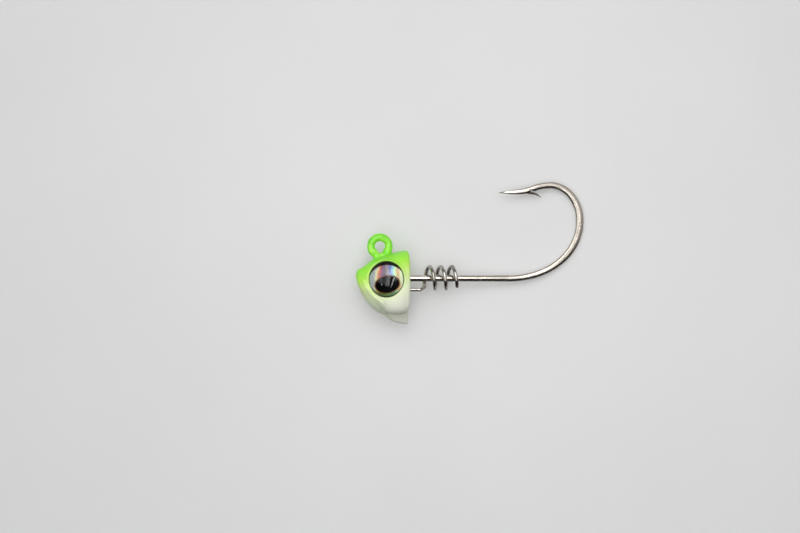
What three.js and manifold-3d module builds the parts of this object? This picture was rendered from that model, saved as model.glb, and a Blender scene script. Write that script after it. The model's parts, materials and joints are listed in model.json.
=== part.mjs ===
// Jig head: a painted lead fish-head casting on a forged jig hook, with a screw-lock spring that
// holds a soft bait and a stick-on domed eye in a socket on each side. Millimetres.
//
// The lure's own axes are x from nose to tail along the hook's shank, y towards the fish's back and
// z out of its left side, with the origin where the shank leaves the head's flat back. The outer
// groups lay the lure on its right side, the way it rests on a table, with +Z up.

import * as THREE from 'three';
import { mergeVertices } from 'three/addons/utils/BufferGeometryUtils.js';
import Module from 'manifold-3d';

const wasm = await Module();
wasm.setup();

const degrees = THREE.MathUtils.degToRad;

// ---- Driving dimensions --------------------------------------------------------------------------

// Hook wire. The bend is forged, so it is deeper in the hook's plane and thinner across it.
const WIRE_RADIUS = 0.69;
const FORGED_HALF_DEPTH = 0.83;
const FORGED_HALF_THICKNESS = 0.57;
const WIRE_SIDES = 10;
const CURVE_STEPS = 16;

// Line eye: a ring in the hook's plane, whose leg slopes down into the head to the shank.
const EYE_RING = { x: -6.34, y: 7.1, radius: 2.0 };
const RING_START = degrees(-34);
const RING_END = degrees(218);
const TUCKED_END = 0.75;
const KNEE_RADIUS = 2.2;

// Bend: two quarter ellipses, a long one up from the shank and a short one over to the point.
const SHANK_LENGTH = 22.5;
const BEND_LOW = { x: 22.5, y: 13, along: 16.2, across: 13 };
const BEND_HIGH = { x: 31.9, y: 13, along: 6.8, across: 7.65 };
const POINT_LINE = [[29.9, 20.44], [28.3, 20.04], [26.7, 19.55], [24.8, 19.28], [22.5, 19.15],
  [20.1, 19.1]];
const POINT_LENGTH = 8.2;
const POINT_TAPER = 0.8;
const POINT_RADIUS = 0.03;
const FORGING_START = 46;
const FORGING_END = 40;

// Barb: a sliver rooted in the wire, with a curved back and belly that meet at its tip.
const BARB_ROOT = [[27.3, 18.95], [27.3, 19.4], [28.6, 19.7]];
const BARB_BACK = [29.4, 19.0];
const BARB_TIP = [30.05, 18.05];
const BARB_BELLY = [28.9, 18.5];
const BARB_THICKNESS = 0.6;
const BARB_STEPS = 5;

// Paint on the line eye, and the clearances that touching pieces keep.
const COAT_RADIUS = 0.86;
const WIRE_GAP = 0.07;
const COAT_GAP = 0.09;
const COAT_END_HEIGHT = 4.1;
const COAT_BORE_RUN = 0.3;
const BED_RUN = 0.1;

// Screw-lock spring: a straight leg out of the head below the shank, then three and a half turns.
const SPRING_WIRE_RADIUS = 0.4;
const SPRING_RADIUS = 2.48;
const SPRING_AXIS_HEIGHT = 0.1;
const SPRING_PITCH = 2.5;
const SPRING_FIRST_TOP = 4.74;
const SPRING_TURNS_BEFORE_TOP = 0.42;
const SPRING_TURNS_AFTER_TOP = 2.42;
const SPRING_LEG_HEIGHT = -2.55;
const SPRING_LEG_START = -3.4;
const SPRING_LEG_END = 2.75;
const SPRING_LEG_SHARES = [0, 0.35, 0.7, 1];
const SPRING_POINTS_PER_TURN = 14;
const SPRING_STEPS = 96;
const SPRING_SIDES = 8;

// Head outline, nose first. Each station is a section with a point on the fish's back, a widest
// point out on the cheek and a point underneath.
const CHEEKS = {
  top: [[-11.7, 1.25], [-11.3, 1.85], [-10.3, 2.4], [-8.3, 3.95], [-6.3, 4.7], [-4.1, 5.4],
    [-1.9, 6.0], [0, 6.2]],
  side: [[-11.78, 0.85, 0.35], [-11.4, 0.5, 1.0], [-10.4, 0, 1.7], [-8.7, -0.8, 2.75],
    [-6.6, -1.8, 3.9], [-4.4, -3.0, 4.9], [-2.2, -3.7, 5.2], [0, -3.5, 4.8]],
  bottom: [[-11.7, 0.45], [-11.35, -0.7], [-10.4, -2.4], [-8.9, -4.7], [-6.9, -6.4],
    [-5.0, -7.9], [-2.6, -8.45], [0, -5.6]],
  fullness: 2.9,
};
const JAW = {
  top: [[-11.5, 0.9], [-11.1, 1], [-10, 1], [-8.6, 0.5], [-6.8, 0], [-5, -1], [-2.6, -2]],
  side: [[-11.65, 0, 0.4], [-11.2, -0.8, 1.1], [-10.3, -2, 1.9], [-9.1, -3.2, 2.6],
    [-7.5, -4.4, 3.1], [-5.6, -5.2, 3.2], [-3.0, -5.6, 2.6]],
  bottom: [[-11.68, -0.15], [-11.15, -1.8], [-10.3, -3.7], [-9.1, -5.55], [-7.6, -7.05],
    [-5.6, -8.1], [-3.6, -8.4]],
  fullness: 2.3,
};
const RINGS_PER_STATION = 2;
const POINTS_PER_RING = 28;

// Throat keel between the gill plates.
const KEEL_OUTLINE = [[-6.6, -7.3], [-5.2, -8.25], [-3.9, -9.35], [-2.3, -9.95], [-0.45, -10.15],
  [-0.15, -5], [-6, -4.5]];
const KEEL_THICKNESS = 2.2;
const KEEL_BEVEL = 0.35;

// Eyes: each lies in a socket whose plane follows the cheek's slope towards the nose.
const EYE_CENTRE = { x: -5.2, y: -0.14, z: 3.25 };
const EYE_SLOPE = degrees(20);
const EYE_RADIUS = 4.0;
const SOCKET_RADIUS = 4.12;
const SOCKET_RIM_RADIUS = 4.5;
const SOCKET_RIM_HEIGHT = 0.25;
const SOCKET_ROOT = 2.6;
const SOCKET_FLOOR_GAP = 0.05;
const SOCKET_CLEARANCE = 6;
const PAD_RADIUS = 3.7;
const PAD_THICKNESS = 0.3;
const FOIL_THICKNESS = 0.12;
const LAYER_GAP = 0.03;
const DOME_WALL = 0.3;
const DOME_HEIGHT = 1.8;
const EYE_SIDES = 40;
const DOME_STEPS = 6;

// The way the lure lies on a table: the bend and the lower cheek touch it.
const REST_PITCH = degrees(7.05);
const REST_ROLL = degrees(1.6);

// Points closer than this are one point.
const WELD = 1e-5;

// ---- Geometry helpers ----------------------------------------------------------------------------

function toSolid(geometry) {
  const bare = geometry.clone();
  bare.deleteAttribute('normal');
  bare.deleteAttribute('uv');
  const merged = mergeVertices(bare, WELD);
  return new wasm.Manifold(new wasm.Mesh({
    numProp: 3,
    vertProperties: new Float32Array(merged.attributes.position.array),
    triVerts: new Uint32Array(merged.index.array),
  }));
}

function toGeometry(solid) {
  const mesh = solid.getMesh();
  const geometry = new THREE.BufferGeometry();
  geometry.setAttribute('position', new THREE.BufferAttribute(mesh.vertProperties, 3));
  geometry.setIndex(new THREE.BufferAttribute(mesh.triVerts, 1));
  geometry.computeVertexNormals();
  return geometry;
}

// A closed skin over rings of points. Every ring has the same number of points, in right-handed
// order about the way the rings advance, and each end is closed by a fan about its middle.
function loft(rings) {
  const sides = rings[0].length;
  const middles = [rings[0], rings.at(-1)].map((ring) => ring
    .reduce((sum, point) => sum.add(point), new THREE.Vector3())
    .divideScalar(sides));
  const points = [...rings.flat(), ...middles];
  const index = [];
  const last = (rings.length - 1) * sides;
  for (let side = 0; side < sides; side += 1) {
    const next = (side + 1) % sides;
    for (let row = 0; row < last; row += sides) {
      index.push(row + side, row + next, row + sides + next);
      index.push(row + side, row + sides + next, row + sides + side);
    }
    index.push(points.length - 2, next, side);
    index.push(points.length - 1, last + side, last + next);
  }
  const geometry = new THREE.BufferGeometry().setFromPoints(points);
  geometry.setIndex(index);
  geometry.computeVertexNormals();
  return geometry;
}

// A wire along flat stops of the hook's path, with half sizes in the path's plane and across it.
function wireAlong(stops, halfSizes) {
  return loft(stops.map((stop) => {
    const [depth, thickness] = halfSizes(stop);
    const ring = [];
    for (let side = 0; side < WIRE_SIDES; side += 1) {
      const angle = (2 * Math.PI * side) / WIRE_SIDES;
      const inward = depth * Math.cos(angle);
      ring.push(new THREE.Vector3(
        stop.point.x - inward * stop.tangent.y,
        stop.point.y + inward * stop.tangent.x,
        thickness * Math.sin(angle),
      ));
    }
    return ring;
  }));
}

// Rings between three rails: the back, the widest line of the cheek and the underside. Each quarter
// of a ring is a superellipse, and more fullness makes it squarer.
function headLoft({ top, side, bottom, fullness }) {
  const [topRail, sideRail, bottomRail] = [top, side, bottom].map((rail) => new THREE.CatmullRomCurve3(
    rail.map(([x, y, z = 0]) => new THREE.Vector3(x, y, z)),
  ));
  const count = (top.length - 1) * RINGS_PER_STATION;
  const rings = [];
  for (let step = 0; step <= count; step += 1) {
    const crown = topRail.getPoint(step / count);
    const cheek = sideRail.getPoint(step / count);
    const chin = bottomRail.getPoint(step / count);
    const ring = [];
    for (let k = 0; k < POINTS_PER_RING; k += 1) {
      const angle = (2 * Math.PI * k) / POINTS_PER_RING;
      const rise = Math.abs(Math.cos(angle)) ** (2 / fullness);
      const width = Math.abs(Math.sin(angle)) ** (2 / fullness);
      const rim = Math.cos(angle) > 0 ? crown : chin;
      ring.push(new THREE.Vector3(
        THREE.MathUtils.lerp(cheek.x, rim.x, rise),
        THREE.MathUtils.lerp(cheek.y, rim.y, rise),
        Math.sign(Math.sin(angle)) * width * cheek.z,
      ));
    }
    rings.push(ring);
  }
  return loft(rings);
}

// ---- Hook ----------------------------------------------------------------------------------------

function hookPath() {
  const ringPoint = (angle) => [
    EYE_RING.x + EYE_RING.radius * Math.cos(angle),
    EYE_RING.y + EYE_RING.radius * Math.sin(angle),
  ];
  const [startX, startY] = ringPoint(RING_START);
  const [legX, legY] = ringPoint(RING_END);
  const legDown = [-Math.sin(RING_END), Math.cos(RING_END)];
  const slope = Math.atan2(-legDown[1], legDown[0]);
  const kneeX = legX - (legY * legDown[0]) / legDown[1];
  const reach = KNEE_RADIUS * Math.tan(slope / 2);
  const path = new THREE.Path();
  path.moveTo(
    startX + TUCKED_END * Math.sin(RING_START),
    startY - TUCKED_END * Math.cos(RING_START),
  );
  path.lineTo(startX, startY);
  path.absarc(EYE_RING.x, EYE_RING.y, EYE_RING.radius, RING_START, RING_END, false);
  path.lineTo(legX + ((COAT_END_HEIGHT - legY) * legDown[0]) / legDown[1], COAT_END_HEIGHT);
  path.lineTo(kneeX - reach * legDown[0], -reach * legDown[1]);
  path.absarc(kneeX + reach, KNEE_RADIUS, KNEE_RADIUS, -Math.PI / 2 - slope, -Math.PI / 2, false);
  path.lineTo(SHANK_LENGTH, 0);
  path.absellipse(BEND_LOW.x, BEND_LOW.y, BEND_LOW.along, BEND_LOW.across, -Math.PI / 2, 0, false);
  path.absellipse(BEND_HIGH.x, BEND_HIGH.y, BEND_HIGH.along, BEND_HIGH.across, 0, Math.PI / 2, false);
  path.splineThru(POINT_LINE.map(([x, y]) => new THREE.Vector2(x, y)));
  return path;
}

// Stops along the hook's path, with the distance of each from the hook's point.
function hookStops(path) {
  const stops = [];
  let travelled = 0;
  for (const curve of path.curves.filter((piece) => piece.getLength() > WELD)) {
    const length = curve.getLength();
    const count = curve.isLineCurve ? 1 : CURVE_STEPS;
    for (let i = stops.length ? 1 : 0; i <= count; i += 1) {
      stops.push({
        point: curve.getPointAt(i / count),
        tangent: curve.getTangentAt(i / count),
        along: travelled + (length * i) / count,
      });
    }
    travelled += length;
  }
  return stops.map((stop) => ({ ...stop, toPoint: travelled - stop.along }));
}

function hookHalfSizes({ toPoint }) {
  const forged = 1 - THREE.MathUtils.smoothstep(toPoint, FORGING_END, FORGING_START);
  const taper = Math.min(1, toPoint / POINT_LENGTH) ** POINT_TAPER;
  return [
    Math.max(POINT_RADIUS, taper * THREE.MathUtils.lerp(WIRE_RADIUS, FORGED_HALF_DEPTH, forged)),
    Math.max(POINT_RADIUS, taper * THREE.MathUtils.lerp(WIRE_RADIUS, FORGED_HALF_THICKNESS, forged)),
  ];
}

// The barb is a thin curved sliver cut up from the inside of the wire behind the point.
function barbGeometry() {
  const [belly, root, back] = BARB_ROOT;
  const shape = new THREE.Shape();
  shape.moveTo(...root);
  shape.lineTo(...back);
  shape.quadraticCurveTo(...BARB_BACK, ...BARB_TIP);
  shape.quadraticCurveTo(...BARB_BELLY, ...belly);
  shape.closePath();
  return new THREE.ExtrudeGeometry(shape, {
    depth: BARB_THICKNESS,
    bevelEnabled: false,
    curveSegments: BARB_STEPS,
  }).translate(0, 0, -BARB_THICKNESS / 2);
}

// ---- Pieces --------------------------------------------------------------------------------------

const round = (radius) => () => [radius, radius];

const stops = hookStops(hookPath());
const firstInHead = stops.findIndex(
  ({ point, tangent }) => tangent.y < 0 && point.y < COAT_END_HEIGHT + WELD,
);
const ringStops = stops.slice(0, firstInHead + 1);
const bedStops = stops.slice(firstInHead, stops.findIndex(({ point }) => point.x >= SHANK_LENGTH) + 1);

// The same stops with one more beyond each end, so that a cut along them runs clear of both ends.
function stretched(inner, extra) {
  const first = inner[0];
  const last = inner.at(-1);
  return [
    { ...first, point: first.point.clone().addScaledVector(first.tangent, -extra) },
    ...inner,
    { ...last, point: last.point.clone().addScaledVector(last.tangent, extra) },
  ];
}

function hook() {
  return toGeometry(toSolid(wireAlong(stops, hookHalfSizes)).add(toSolid(barbGeometry())));
}

// The coat is a sleeve of paint round the ring and the top of its leg, open at both ends.
function lineEyeCoat() {
  const outside = toSolid(wireAlong(ringStops, round(COAT_RADIUS)));
  const bore = toSolid(wireAlong(stretched(ringStops, COAT_BORE_RUN), round(WIRE_RADIUS + WIRE_GAP)));
  return toGeometry(outside.subtract(bore));
}

function springPath() {
  const points = [];
  for (const share of SPRING_LEG_SHARES) {
    const x = THREE.MathUtils.lerp(SPRING_LEG_START, SPRING_LEG_END, share);
    points.push(new THREE.Vector3(x, SPRING_LEG_HEIGHT, 0));
  }
  const turns = SPRING_TURNS_BEFORE_TOP + SPRING_TURNS_AFTER_TOP;
  for (let step = 0; step <= turns * SPRING_POINTS_PER_TURN; step += 1) {
    const turn = step / SPRING_POINTS_PER_TURN - SPRING_TURNS_BEFORE_TOP;
    const angle = 2 * Math.PI * turn;
    points.push(new THREE.Vector3(
      SPRING_FIRST_TOP + SPRING_PITCH * turn,
      SPRING_AXIS_HEIGHT + SPRING_RADIUS * Math.cos(angle),
      SPRING_RADIUS * Math.sin(angle),
    ));
  }
  return new THREE.CatmullRomCurve3(points);
}

function screwLockSpring() {
  const section = new THREE.Shape().absarc(0, 0, SPRING_WIRE_RADIUS, 0, 2 * Math.PI);
  return new THREE.ExtrudeGeometry(section, {
    steps: SPRING_STEPS,
    extrudePath: springPath(),
    curveSegments: SPRING_SIDES / 2,
  });
}

// An upright disc on the eye's own axis, from one height to another.
function disc(radius, bottom, top) {
  return new THREE.CylinderGeometry(radius, radius, top - bottom, EYE_SIDES)
    .rotateX(Math.PI / 2)
    .translate(0, 0, (top + bottom) / 2);
}

const PAD_TOP = -LAYER_GAP;
const PAD_BOTTOM = PAD_TOP - PAD_THICKNESS;
const DOME_BOTTOM = FOIL_THICKNESS + LAYER_GAP;

function eyeDome() {
  const bulge = DOME_HEIGHT - DOME_WALL;
  const sphere = (EYE_RADIUS ** 2 + bulge ** 2) / (2 * bulge);
  const edge = Math.asin(EYE_RADIUS / sphere);
  const profile = [new THREE.Vector2(0, DOME_BOTTOM), new THREE.Vector2(EYE_RADIUS, DOME_BOTTOM)];
  for (let step = 0; step <= DOME_STEPS; step += 1) {
    const angle = edge * (1 - step / DOME_STEPS);
    profile.push(new THREE.Vector2(
      sphere * Math.sin(angle),
      DOME_BOTTOM + DOME_HEIGHT - sphere * (1 - Math.cos(angle)),
    ));
  }
  return new THREE.LatheGeometry(profile, EYE_SIDES).rotateX(Math.PI / 2);
}

// Where an eye sits: its z axis points out of the cheek on the left (1) or the right (-1).
function eyeSeat(side) {
  const seat = new THREE.Group();
  seat.position.set(EYE_CENTRE.x, EYE_CENTRE.y, side * EYE_CENTRE.z);
  seat.rotation.y = side > 0 ? -EYE_SLOPE : Math.PI + EYE_SLOPE;
  seat.updateMatrix();
  return seat;
}

function keelGeometry() {
  const shape = new THREE.Shape(KEEL_OUTLINE.map(([x, y]) => new THREE.Vector2(x, y)));
  const depth = KEEL_THICKNESS - 2 * KEEL_BEVEL;
  return new THREE.ExtrudeGeometry(shape, {
    depth,
    bevelThickness: KEEL_BEVEL,
    bevelSize: KEEL_BEVEL,
    bevelOffset: -KEEL_BEVEL,
    bevelSegments: 2,
  }).translate(0, 0, -depth / 2);
}

function headCasting() {
  let solid = toSolid(headLoft(CHEEKS)).add(toSolid(headLoft(JAW))).add(toSolid(keelGeometry()));
  for (const side of [1, -1]) {
    const { matrix } = eyeSeat(side);
    const rim = disc(SOCKET_RIM_RADIUS, -SOCKET_ROOT, SOCKET_RIM_HEIGHT);
    solid = solid.add(toSolid(rim.applyMatrix4(matrix)));
  }
  for (const side of [1, -1]) {
    const { matrix } = eyeSeat(side);
    const pocket = disc(SOCKET_RADIUS, PAD_BOTTOM - SOCKET_FLOOR_GAP, SOCKET_CLEARANCE);
    solid = solid.subtract(toSolid(pocket.applyMatrix4(matrix)));
  }
  const holeRadius = SPRING_WIRE_RADIUS + WIRE_GAP;
  const holeLength = 2 * (BED_RUN - SPRING_LEG_START);
  const legHole = new THREE.CylinderGeometry(holeRadius, holeRadius, holeLength, WIRE_SIDES)
    .rotateZ(Math.PI / 2)
    .translate(0, SPRING_LEG_HEIGHT, 0);
  const wireBed = wireAlong(stretched(bedStops, BED_RUN), round(WIRE_RADIUS + WIRE_GAP));
  const coatBed = wireAlong(stretched(ringStops, BED_RUN), round(COAT_RADIUS + COAT_GAP));
  return toGeometry(solid
    .subtract(toSolid(wireBed))
    .subtract(toSolid(coatBed))
    .subtract(toSolid(legHole)));
}

// ---- Scene graph ---------------------------------------------------------------------------------

const finish = (color, roughness, metalness) => new THREE.MeshStandardMaterial({
  color, roughness, metalness,
});
const paint = finish(0x9be35b, 0.4, 0);
const coat = finish(0x82dc30, 0.35, 0);
const nickel = finish(0xb0a89c, 0.25, 1);
const stainless = finish(0x8a8784, 0.3, 1);
const hologram = finish(0xc8bfc8, 0.25, 0.6);
const adhesive = finish(0xe8e6df, 0.7, 0);
const epoxy = new THREE.MeshStandardMaterial({
  color: 0xffffff, roughness: 0.05, metalness: 0, transparent: true, opacity: 0.3,
});

function piece(name, geometry, material) {
  const mesh = new THREE.Mesh(geometry, material);
  mesh.name = name;
  return mesh;
}

const lure = new THREE.Group();
lure.rotation.x = REST_ROLL;
lure.add(
  piece('head_casting', headCasting(), paint),
  piece('hook', hook(), nickel),
  piece('line_eye_coat', lineEyeCoat(), coat),
  piece('screw_lock_spring', screwLockSpring(), stainless),
);
for (const [word, side] of [['left', 1], ['right', -1]]) {
  const seat = eyeSeat(side);
  seat.add(
    piece(`eye_${word}_adhesive`, disc(PAD_RADIUS, PAD_BOTTOM, PAD_TOP), adhesive),
    piece(`eye_${word}_foil`, disc(EYE_RADIUS, 0, FOIL_THICKNESS), hologram),
    piece(`eye_${word}_dome`, eyeDome(), epoxy),
  );
  lure.add(seat);
}

const lying = new THREE.Group();
lying.rotation.y = REST_PITCH;
lying.add(lure);

// The origin is on the table, under the middle of the lure.
const jigHead = new THREE.Group();
jigHead.name = 'jig_head';
jigHead.add(lying);
const extent = new THREE.Box3().setFromObject(jigHead, true);
const middle = extent.getCenter(new THREE.Vector3());
lying.position.set(-middle.x, -middle.y, -extent.min.z);

export default jigHead;
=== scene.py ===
"""The looks of a painted fish-head jig: casting, forged hook, screw-lock spring and domed eyes."""

import json
import math

import bpy
import numpy as np
import openvdb
from mathutils import Matrix, Vector


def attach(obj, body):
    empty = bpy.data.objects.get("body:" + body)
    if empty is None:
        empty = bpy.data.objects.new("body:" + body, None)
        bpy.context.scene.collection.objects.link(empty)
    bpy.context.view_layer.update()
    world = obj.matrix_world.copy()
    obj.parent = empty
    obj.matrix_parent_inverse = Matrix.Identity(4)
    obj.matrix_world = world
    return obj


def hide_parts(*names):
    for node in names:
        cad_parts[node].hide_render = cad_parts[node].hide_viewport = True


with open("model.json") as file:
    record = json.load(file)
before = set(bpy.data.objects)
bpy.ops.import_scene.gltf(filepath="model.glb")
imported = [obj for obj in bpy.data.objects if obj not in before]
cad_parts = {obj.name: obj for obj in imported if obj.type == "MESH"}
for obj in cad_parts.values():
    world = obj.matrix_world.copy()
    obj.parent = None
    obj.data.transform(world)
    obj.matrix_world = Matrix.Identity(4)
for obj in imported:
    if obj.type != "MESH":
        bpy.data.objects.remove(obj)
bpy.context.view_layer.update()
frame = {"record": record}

# ---- The lure's own frame: x from nose to tail, y to the fish's back, z out of its left side ------
# Its origin is on the middle of the shank, at the back of the head, and its lengths are millimetres.

MM = 0.001
LINE_EYE = (-6.34, 7.1)

mounts = {mount["name"]: mount for mount in frame["record"]["mounts"]}
LURE_X = Vector(mounts["bait_seat"]["axis"]).normalized()
LURE_Z = Vector(mounts["line_eye"]["axis"]).normalized()
LURE_Y = LURE_Z.cross(LURE_X)
LURE_ORIGIN = Vector(mounts["line_eye"]["pos_m"]) - MM * (LURE_X * LINE_EYE[0] + LURE_Y * LINE_EYE[1])
LURE = Matrix.Translation(LURE_ORIGIN) @ Matrix((LURE_X, LURE_Y, LURE_Z)).transposed().to_4x4()


def place(name, points, faces, material, matrix=LURE, uv=None, thin_paint_and_highlight=None):
    """A smooth mesh object from points in millimetres in the frame that matrix gives."""
    mesh = bpy.data.meshes.new(name)
    corners = [list(map(int, face)) for face in faces]
    mesh.from_pydata((np.asarray(points, float) * MM).tolist(), [], corners)
    mesh.validate()
    mesh.update()
    mesh.shade_smooth()
    if uv is not None:
        layer = mesh.uv_layers.new(name="UVMap")
        loops = np.empty(len(mesh.loops), int)
        mesh.loops.foreach_get("vertex_index", loops)
        layer.data.foreach_set("uv", np.asarray(uv, np.float32)[loops].ravel())
    if thin_paint_and_highlight is not None:
        thinness_and_highlight = mesh.attributes.new("thin_paint_and_highlight", "FLOAT", "POINT")
        thinness_and_highlight.data.foreach_set("value", thin_paint_and_highlight.astype(np.float32))
    mesh.materials.append(material)
    obj = bpy.data.objects.new(name, mesh)
    bpy.context.collection.objects.link(obj)
    obj.matrix_world = matrix
    return obj


# ---- Solid shapes as distance fields --------------------------------------------------------------


def smooth_min(a, b, blend):
    """The union of two fields, rounded where they meet."""
    share = np.clip(0.5 + 0.5 * (b - a) / blend, 0, 1)
    return b * (1 - share) + a * share - blend * share * (1 - share)


def smooth_max(a, b, blend):
    """What two fields share, rounded where they meet."""
    return -smooth_min(-a, -b, blend)


def smoothstep(value, low, high):
    """Nought up to low, one from high on, and a smooth rise between."""
    t = np.clip((value - low) / (high - low), 0, 1)
    return t * t * (3 - 2 * t)


def grid(low, high, step):
    """Coordinates of a box of samples, as three arrays that broadcast together."""
    axes = [np.arange(a, b, step, dtype=np.float32) for a, b in zip(low, high)]
    return np.meshgrid(*axes, indexing="ij", sparse=True)


def to_distance(field, step):
    """Scales a field by its slope, so that it reads in millimetres near its surface."""
    slope = np.sqrt(sum(g * g for g in np.gradient(field, step)))
    return field / np.maximum(slope, 0.05)


def skin(field, low, step):
    """The surface where the field is zero, as points and faces that point out."""
    volume = openvdb.FloatGrid(background=1.0)
    volume.copyFromArray(np.ascontiguousarray(field, dtype=np.float32))
    points, quads = volume.convertToQuads(isovalue=0.0)
    return points * step + np.array(low), quads[:, ::-1]


def capsule(x, y, z, start, end):
    """Distance from each sample to a straight line between two points."""
    start, end = np.array(start, float), np.array(end, float)
    along = end - start
    share = (x - start[0]) * along[0] + (y - start[1]) * along[1] + (z - start[2]) * along[2]
    share = np.clip(share / max(along @ along, 1e-9), 0, 1)
    return np.sqrt(sum((axis - start[i] - share * along[i]) ** 2 for i, axis in enumerate((x, y, z))))


def polyline(x, y, points):
    """Distance in the fish's side view from each sample to a line through points."""
    return np.min([
        capsule(x, y, 0 * x, (*a, 0), (*b, 0)) for a, b in zip(points[:-1], points[1:])
    ], axis=0)


def outline(x, y, points):
    """Signed distance in the fish's side view to a closed outline, negative inside."""
    inside = np.zeros(np.broadcast_shapes(x.shape, y.shape), bool)
    for (x0, y0), (x1, y1) in zip(points, points[1:] + points[:1]):
        crosses = ((y0 > y) != (y1 > y)) & (x < (x1 - x0) * (y - y0) / (y1 - y0 + 1e-12) + x0)
        inside ^= crosses
    edge = polyline(x, y, points + points[:1])
    return np.where(inside, -edge, edge)


# ---- Curves ---------------------------------------------------------------------------------------


def spline(points, count):
    """A Catmull-Rom curve through points."""
    p = np.array(points, float)
    p = np.vstack([2 * p[0] - p[1], p, 2 * p[-1] - p[-2]])
    t = np.linspace(0, len(points) - 1, count)
    i = np.minimum(t.astype(int), len(points) - 2)
    f = (t - i)[:, None]
    a, b, c, d = p[i], p[i + 1], p[i + 2], p[i + 3]
    return 0.5 * (2 * b + (c - a) * f + (2 * a - 5 * b + 4 * c - d) * f**2 + (3 * b - a - 3 * c + d) * f**3)


def arc(x, y, along, across, start, end, count=120, fullness=2.0):
    """Part of an ellipse, or of a fuller oval when fullness is above two."""
    angle = np.radians(np.linspace(start, end, count))
    c, s = (np.sign(v) * np.abs(v) ** (2 / fullness) for v in (np.cos(angle), np.sin(angle)))
    return np.c_[x + along * c, y + across * s]


def travel(points):
    """How far each point lies along the line from its start."""
    return np.r_[0, np.cumsum(np.linalg.norm(np.diff(points, axis=0), axis=1))]


def resample(points, spacing):
    """Points along the same line at even spacing."""
    steps = np.linalg.norm(np.diff(points, axis=0), axis=1)
    points = points[np.r_[True, steps > 1e-6]]
    travelled = travel(points)
    even = np.linspace(0, travelled[-1], int(travelled[-1] / spacing) + 1)
    return np.stack([np.interp(even, travelled, axis) for axis in points.T], axis=1)


def normals(points):
    """Two normals at each point of a line, turned no more than the line turns."""
    tangents = np.gradient(points, axis=0)
    tangents /= np.linalg.norm(tangents, axis=1)[:, None]
    across = np.array([0, 0, 1.0])
    firsts, seconds = [], []
    for tangent in tangents:
        across = across - tangent * (across @ tangent)
        across /= np.linalg.norm(across)
        seconds.append(across)
        firsts.append(np.cross(across, tangent))
    return np.array(firsts), np.array(seconds)


def sweep(points, depth, thickness, sides, inner=1.0, squareness=2.0):
    """A closed wire along points, with half sizes that may change along it.

    inner shrinks the side towards the first normal, and a squareness above two flattens its sides. The
    UV map holds the way round the wire, there and back, and the way along it in tenths of a metre.
    """
    count = len(points)
    depth, thickness, inner, squareness = (
        np.broadcast_to(np.asarray(v, float), count)[:, None] for v in (depth, thickness, inner, squareness)
    )
    first, second = normals(points)
    angle = 2 * np.pi * np.arange(sides) / sides
    c, s = np.cos(angle)[None], np.sin(angle)[None]
    c = np.sign(c) * np.abs(c) ** (2 / squareness)
    s = np.sign(s) * np.abs(s) ** (2 / squareness)
    c = np.where(c > 0, c * inner, c) * depth
    s = s * thickness
    rings = points[:, None] + c[..., None] * first[:, None] + s[..., None] * second[:, None]
    vertices = np.vstack([rings.reshape(-1, 3), points[0], points[-1]])
    side = np.arange(sides)
    following = (side + 1) % sides
    rows = sides * np.arange(count - 1)[:, None]
    onward = rows + sides
    quads = np.stack([rows + side, rows + following, onward + following, onward + side], axis=-1)
    last = sides * (count - 1)
    faces = quads.reshape(-1, 4).tolist()
    faces += [[len(vertices) - 2, b, a] for a, b in zip(side, following)]
    faces += [[len(vertices) - 1, last + a, last + b] for a, b in zip(side, following)]
    run = travel(points)
    uv = np.stack(np.broadcast_arrays(np.abs(2 * side / sides - 1)[None], run[:, None] / 100), axis=-1)
    uv = np.vstack([uv.reshape(-1, 2), [[0, 0], [0, run[-1] / 100]]])
    return vertices, faces, uv


# ---- Materials ------------------------------------------------------------------------------------


def linear(hex_colour):
    """The six digits of a screen colour as the four linear numbers that a shader takes."""
    channels = [int(hex_colour[i:i + 2], 16) / 255 for i in (0, 2, 4)]
    return [c / 12.92 if c <= 0.04045 else ((c + 0.055) / 1.055) ** 2.4 for c in channels] + [1.0]


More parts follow.
